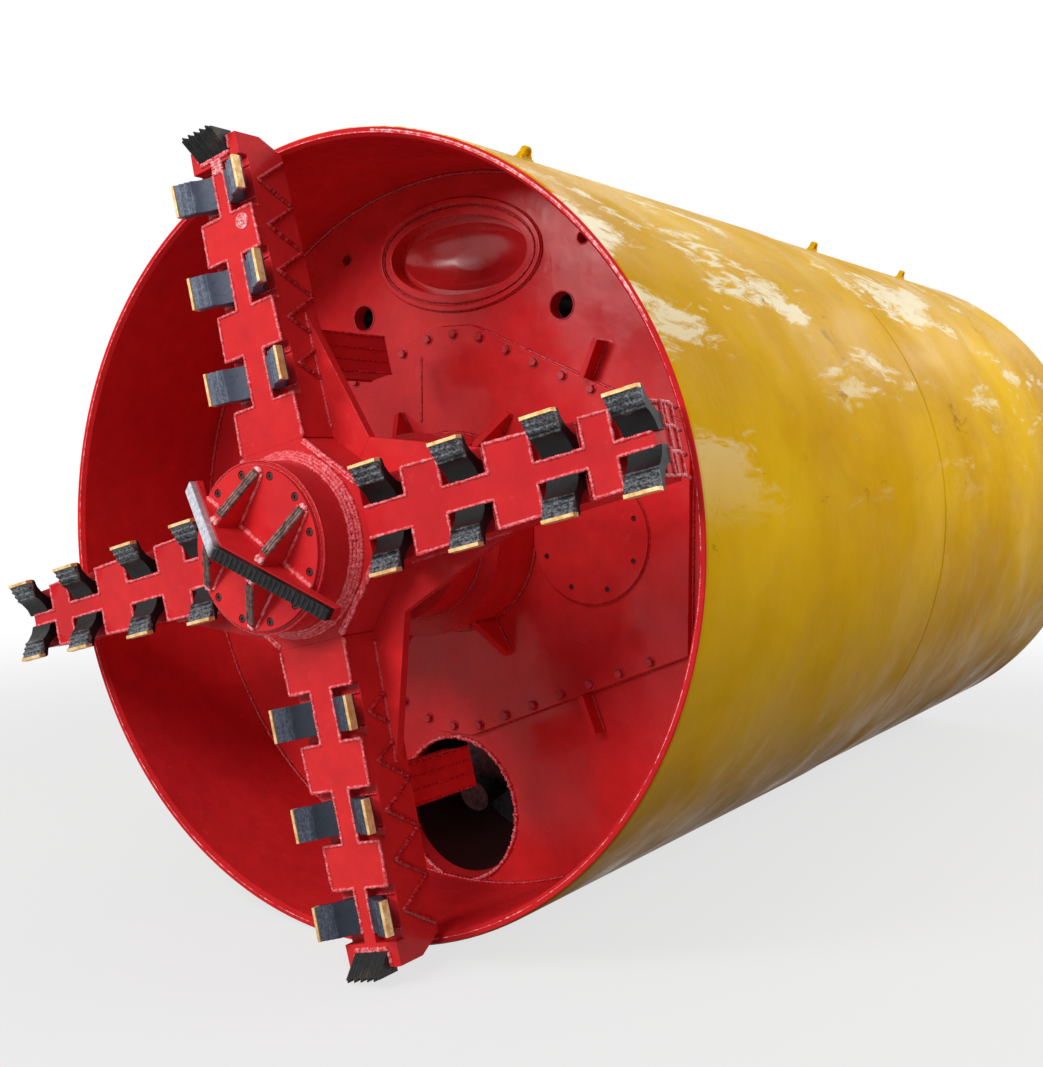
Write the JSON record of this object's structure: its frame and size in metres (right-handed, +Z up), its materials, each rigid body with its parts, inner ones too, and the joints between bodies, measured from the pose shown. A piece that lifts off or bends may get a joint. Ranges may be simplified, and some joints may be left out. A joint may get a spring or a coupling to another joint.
{
  "type": "tunnelling shield with a spoked cutterhead",
  "caption": "Front shield of a pipe-jacking tunnelling machine: spoked cutterhead with scrapers, bulkhead, drive, screw conveyor and a steered rear shield.",
  "frame": {"origin": "on the ground under the machine's axis, halfway between the bit's point and the tail", "axes": "+Y along the machine's axis towards the tail, so the head faces -Y; +Z up; +X to the right seen from the front"},
  "size_m": [2.5184, 5.065, 2.5],
  "materials": {
    "yellow_paint": "gloss",
    "red_paint": "gloss",
    "grey_paint": "satin",
    "light_paint": "satin",
    "tool_steel": "satin",
    "carbide": "worn",
    "bright_steel": "satin"
  },
  "bodies": {
    "front_shield": {"front_shell": "yellow_paint", "front_ribs": "red_paint", "front_pads": "yellow_paint", "bulkhead": "red_paint", "bulkhead_fins": "red_paint", "manhole_frame": "red_paint", "manhole_hinge": "red_paint", "center_panel": "red_paint", "drive_covers": "red_paint", "drive_housing": "red_paint", "gear_case": "grey_paint", "drive_motors": "grey_paint", "screw_casing": "grey_paint", "screw_drive": "grey_paint", "front_brackets": "grey_paint", "steering_barrels": "grey_paint"},
    "cutterhead": {"hub": "red_paint", "hub_cover": "red_paint", "spoke_1": "red_paint", "spoke_2": "red_paint", "spoke_3": "red_paint", "spoke_4": "red_paint", "scrapers_1": "tool_steel", "scrapers_2": "tool_steel", "scrapers_3": "tool_steel", "scrapers_4": "tool_steel", "scraper_tips_1": "carbide", "scraper_tips_2": "carbide", "scraper_tips_3": "carbide", "scraper_tips_4": "carbide", "gauge_cutters": "tool_steel", "fishtail": "red_paint", "fishtail_edges": "carbide", "mixing_bars": "red_paint", "main_shaft": "bright_steel"},
    "auger": {"screw_shaft": "bright_steel", "screw_flight": "bright_steel"},
    "joint_ring": {"joint_ring": "grey_paint"},
    "rear_shield": {"rear_shell": "yellow_paint", "rear_ribs": "grey_paint", "rear_pin_arms": "grey_paint", "clevises": "grey_paint", "clevis_pins": "bright_steel", "clevis_posts": "grey_paint", "rear_deck": "grey_paint", "control_cabinet": "light_paint", "hydraulic_tank": "light_paint", "rear_pads": "yellow_paint"},
    "rod_1": {"steering_rod_1": "bright_steel"},
    "rod_2": {"steering_rod_2": "bright_steel"},
    "rod_3": {"steering_rod_3": "bright_steel"},
    "rod_4": {"steering_rod_4": "bright_steel"},
    "manhole_door": {"manhole_door": "red_paint"},
    "discharge_gate": {"discharge_gate": "grey_paint"}
  },
  "joints": [
    {"name": "head_spin", "type": "hinge", "parent": "front_shield", "child": "cutterhead", "pos_m": [0, -2.0075, 1.25], "axis": [0, 1, 0], "continuous": true},
    {"name": "screw_spin", "type": "hinge", "parent": "front_shield", "child": "auger", "pos_m": [0, -1.3955, 0.281], "axis": [0, 0.9659, 0.2588], "continuous": true},
    {"name": "steer_front_pins", "type": "hinge", "parent": "front_shield", "child": "joint_ring", "pos_m": [0, 0.0325, 1.25], "axis": [0.7071, 0, 0.7071], "range_deg": [-0.8, 0.8]},
    {"name": "steer_rear_pins", "type": "hinge", "parent": "joint_ring", "child": "rear_shield", "pos_m": [0, 0.0325, 1.25], "axis": [-0.7071, 0, 0.7071], "range_deg": [-0.8, 0.8]},
    {"name": "rod_1_slide", "type": "slide", "parent": "front_shield", "child": "rod_1", "axis": [0, 1, 0], "range_m": [-0.0135, 0.0135]},
    {"name": "rod_2_slide", "type": "slide", "parent": "front_shield", "child": "rod_2", "axis": [0, 1, 0], "range_m": [-0.0135, 0.0135]},
    {"name": "rod_3_slide", "type": "slide", "parent": "front_shield", "child": "rod_3", "axis": [0, 1, 0], "range_m": [-0.0135, 0.0135]},
    {"name": "rod_4_slide", "type": "slide", "parent": "front_shield", "child": "rod_4", "axis": [0, 1, 0], "range_m": [-0.0135, 0.0135]},
    {"name": "manhole_door_hinge", "type": "hinge", "parent": "front_shield", "child": "manhole_door", "pos_m": [-0.372, -1.2875, 2.192], "axis": [0, 0, 1], "range_deg": [0, 90]},
    {"name": "discharge_gate_slide", "type": "slide", "parent": "front_shield", "child": "discharge_gate", "axis": [1, 0, 0], "range_m": [0, 0.38]}
  ],
  "couplings": [
    {"joint": "rod_1_slide", "follows": "steer_rear_pins", "m_per_rad": 0.93},
    {"joint": "rod_2_slide", "follows": "steer_rear_pins", "m_per_rad": -0.93},
    {"joint": "rod_3_slide", "follows": "steer_front_pins", "m_per_rad": -0.93},
    {"joint": "rod_4_slide", "follows": "steer_front_pins", "m_per_rad": 0.93}
  ]
}
